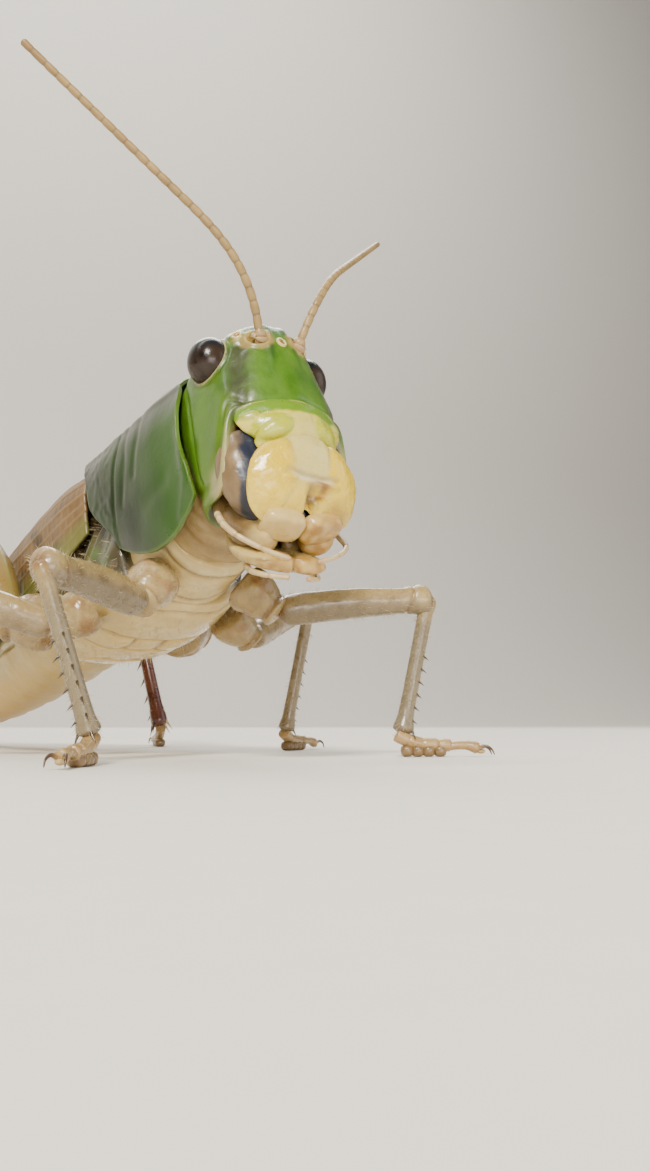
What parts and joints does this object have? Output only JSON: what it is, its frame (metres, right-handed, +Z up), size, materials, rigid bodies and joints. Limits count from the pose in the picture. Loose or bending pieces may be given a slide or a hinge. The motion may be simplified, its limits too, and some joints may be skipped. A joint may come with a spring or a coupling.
{
  "type": "locust model",
  "caption": "Life-size still model of an adult green locust standing on its six feet, with folded wings and raised feelers.",
  "frame": {"origin": "the centre of the bounding box's floor, between the feet, at the level that all six soles stand on", "axes": "+Z up, -Y the way the animal faces, +X the animal's left side"},
  "size_m": [0.0358, 0.0608, 0.032],
  "materials": {
    "head_shell": "glossy leaf-green cuticle, smooth, with fine pits",
    "mouth_plates": "glossy cream to yellow cuticle, green at its upper edge, amber stains",
    "mandibles": "grey-brown outside to blue-black beside the upper lip, glossy",
    "palps": "pale cream, pinkish at the tips",
    "eyes": "dark slate above to brown-grey below, glossy, very fine facets",
    "feelers": "tan, ringed, satin",
    "membrane": "soft folded cream skin",
    "back_shield": "glossy dark green cuticle with a pale edge",
    "belly_shell": "glossy cream-tan plates below, dark green-brown flanks",
    "abdomen_rings": "satin cream to yellow rings, brown above, dark tip",
    "fore_wings": "leathery brown, dark spots, raised veins",
    "legs": "glossy pinkish tan, short fine hairs",
    "hind_thighs": "green with a herringbone of ridges, tan below",
    "hind_shins": "dark reddish brown, cream spines with dark tips",
    "feet": "tan with orange-brown pads",
    "claws": "dark brown, glossy"
  },
  "bodies": {
    "root": {"abdomen": "abdomen_rings", "antenna_left": "feelers", "antenna_right": "feelers", "cercus_left": "legs", "cercus_right": "legs", "clypeus": "mouth_plates", "eye_left": "eyes", "eye_right": "eyes", "fore_coxa_left": "legs", "fore_coxa_right": "legs", "fore_femur_left": "legs", "fore_femur_right": "legs", "fore_tarsus_left": "feet", "fore_tarsus_right": "feet", "fore_tibia_left": "legs", "fore_tibia_right": "legs", "head": "head_shell", "hind_coxa_left": "legs", "hind_coxa_right": "legs", "hind_femur_left": "hind_thighs", "hind_femur_right": "hind_thighs", "hind_tarsus_left": "feet", "hind_tarsus_right": "feet", "hind_tibia_left": "hind_shins", "hind_tibia_right": "hind_shins", "labial_palp_left": "palps", "labial_palp_right": "palps", "labium": "mouth_plates", "labrum": "mouth_plates", "mandible_left": "mandibles", "mandible_right": "mandibles", "maxilla_left": "mouth_plates", "maxilla_right": "mouth_plates", "maxillary_palp_left": "palps", "maxillary_palp_right": "palps", "mid_coxa_left": "legs", "mid_coxa_right": "legs", "mid_femur_left": "legs", "mid_femur_right": "legs", "mid_tarsus_left": "feet", "mid_tarsus_right": "feet", "mid_tibia_left": "legs", "mid_tibia_right": "legs", "neck": "membrane", "ovipositor_lower": "claws", "ovipositor_upper": "claws", "pronotum": "back_shield", "prothorax": "belly_shell", "tail": "abdomen_rings", "tegmen_left": "fore_wings", "tegmen_right": "fore_wings", "thorax": "belly_shell"}
  },
  "joints": []
}
